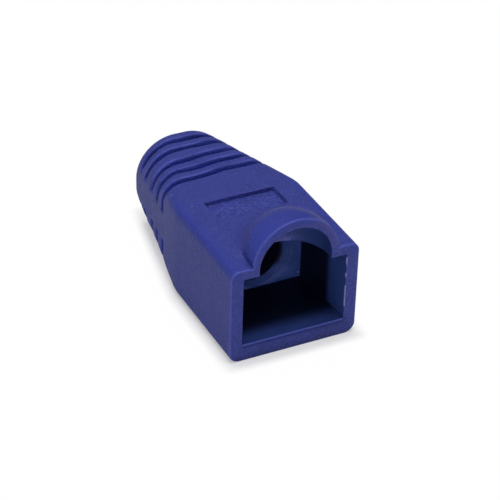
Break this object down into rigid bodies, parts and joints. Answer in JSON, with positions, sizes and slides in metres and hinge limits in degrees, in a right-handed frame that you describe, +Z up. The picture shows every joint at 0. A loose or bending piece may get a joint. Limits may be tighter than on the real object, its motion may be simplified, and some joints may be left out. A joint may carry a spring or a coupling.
{
  "type": "rj45 strain relief boot",
  "caption": "Moulded strain relief boot for a modular plug: open box with a domed latch hood, bare label recess, and a tapered tail with flexing grooves round the cable hole.",
  "frame": {"origin": "under the middle of the boot, on the surface that it stands on", "axes": "+Y along the cable, from the plug mouth to the cable end; +Z up, towards the latch hood; +X across the boot"},
  "size_m": [0.0148, 0.0288, 0.0159],
  "materials": {
    "boot": "matte, finely pebbled flexible PVC, blue-violet"
  },
  "bodies": {
    "root": {"boot": "boot"}
  },
  "joints": []
}
